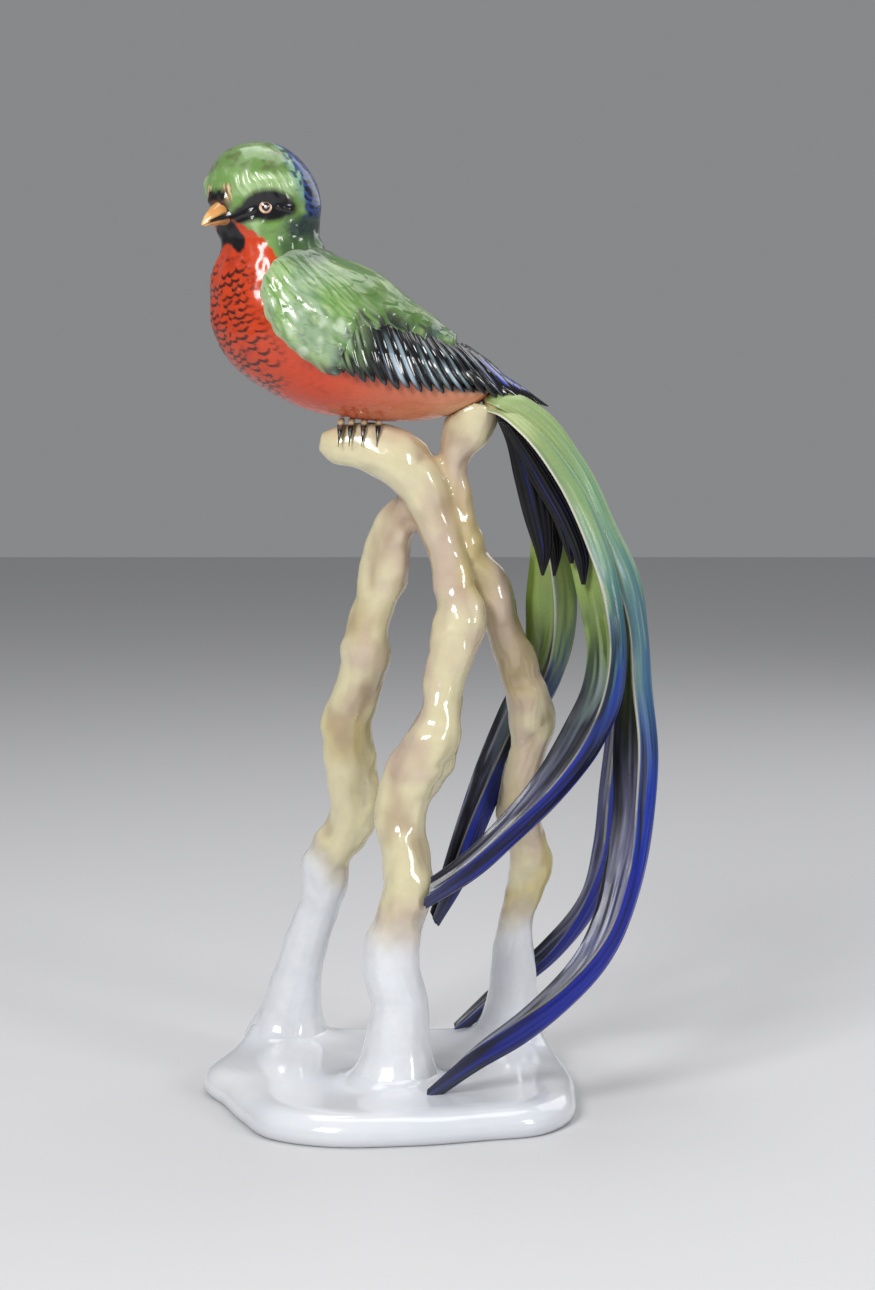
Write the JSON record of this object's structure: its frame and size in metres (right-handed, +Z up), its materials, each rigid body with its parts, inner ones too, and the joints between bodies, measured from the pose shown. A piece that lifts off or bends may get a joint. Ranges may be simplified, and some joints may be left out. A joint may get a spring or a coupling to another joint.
{
  "type": "porcelain figurine",
  "caption": "glazed porcelain bird with long curved tail streamers, perched on a tripod of knobbly branches over a puddle-shaped base",
  "frame": {"origin": "on the table, under the middle of the figure's box", "axes": "+Z up from the table; the bird looks towards -X, its tail hangs on +X and its left wing faces -Y"},
  "size_m": [0.1825, 0.1516, 0.3814],
  "materials": {
    "white_porcelain": "white glossy glaze",
    "cream_glaze": "cream to ochre glossy glaze, fading to white at the foot",
    "breast_red": "orange-red glaze with dark strokes, peach on the belly",
    "feather_green": "painted green feathers under clear glaze",
    "flight_black": "blue-black painted feathers under clear glaze",
    "beak_tan": "tan glaze",
    "eye_black": "dark glossy eye with a pale ring",
    "tail_green": "green fading to deep blue, streaked along the length",
    "tail_blue": "blue-black streaked glaze"
  },
  "bodies": {
    "root": {"base": "white_porcelain", "branch_front": "cream_glaze", "branch_breast": "cream_glaze", "branch_tail": "cream_glaze", "torso": "breast_red", "head": "feather_green", "beak_upper": "beak_tan", "beak_lower": "beak_tan", "eye_left": "eye_black", "eye_right": "eye_black", "wing_coverts_left": "feather_green", "wing_coverts_right": "feather_green", "wing_flight_left": "flight_black", "wing_flight_right": "flight_black", "tail_root": "flight_black", "claw_left_1": "flight_black", "claw_left_2": "flight_black", "claw_left_3": "flight_black", "claw_left_4": "flight_black", "claw_right_1": "flight_black", "claw_right_2": "flight_black", "claw_right_3": "flight_black", "claw_right_4": "flight_black", "under_tail_1": "tail_blue", "under_tail_2": "tail_blue", "under_tail_3": "tail_blue", "under_tail_4": "tail_blue", "streamer_short_left": "tail_green", "streamer_short_right": "tail_green", "streamer_long_left": "tail_green", "streamer_long_right": "tail_green"}
  },
  "joints": []
}
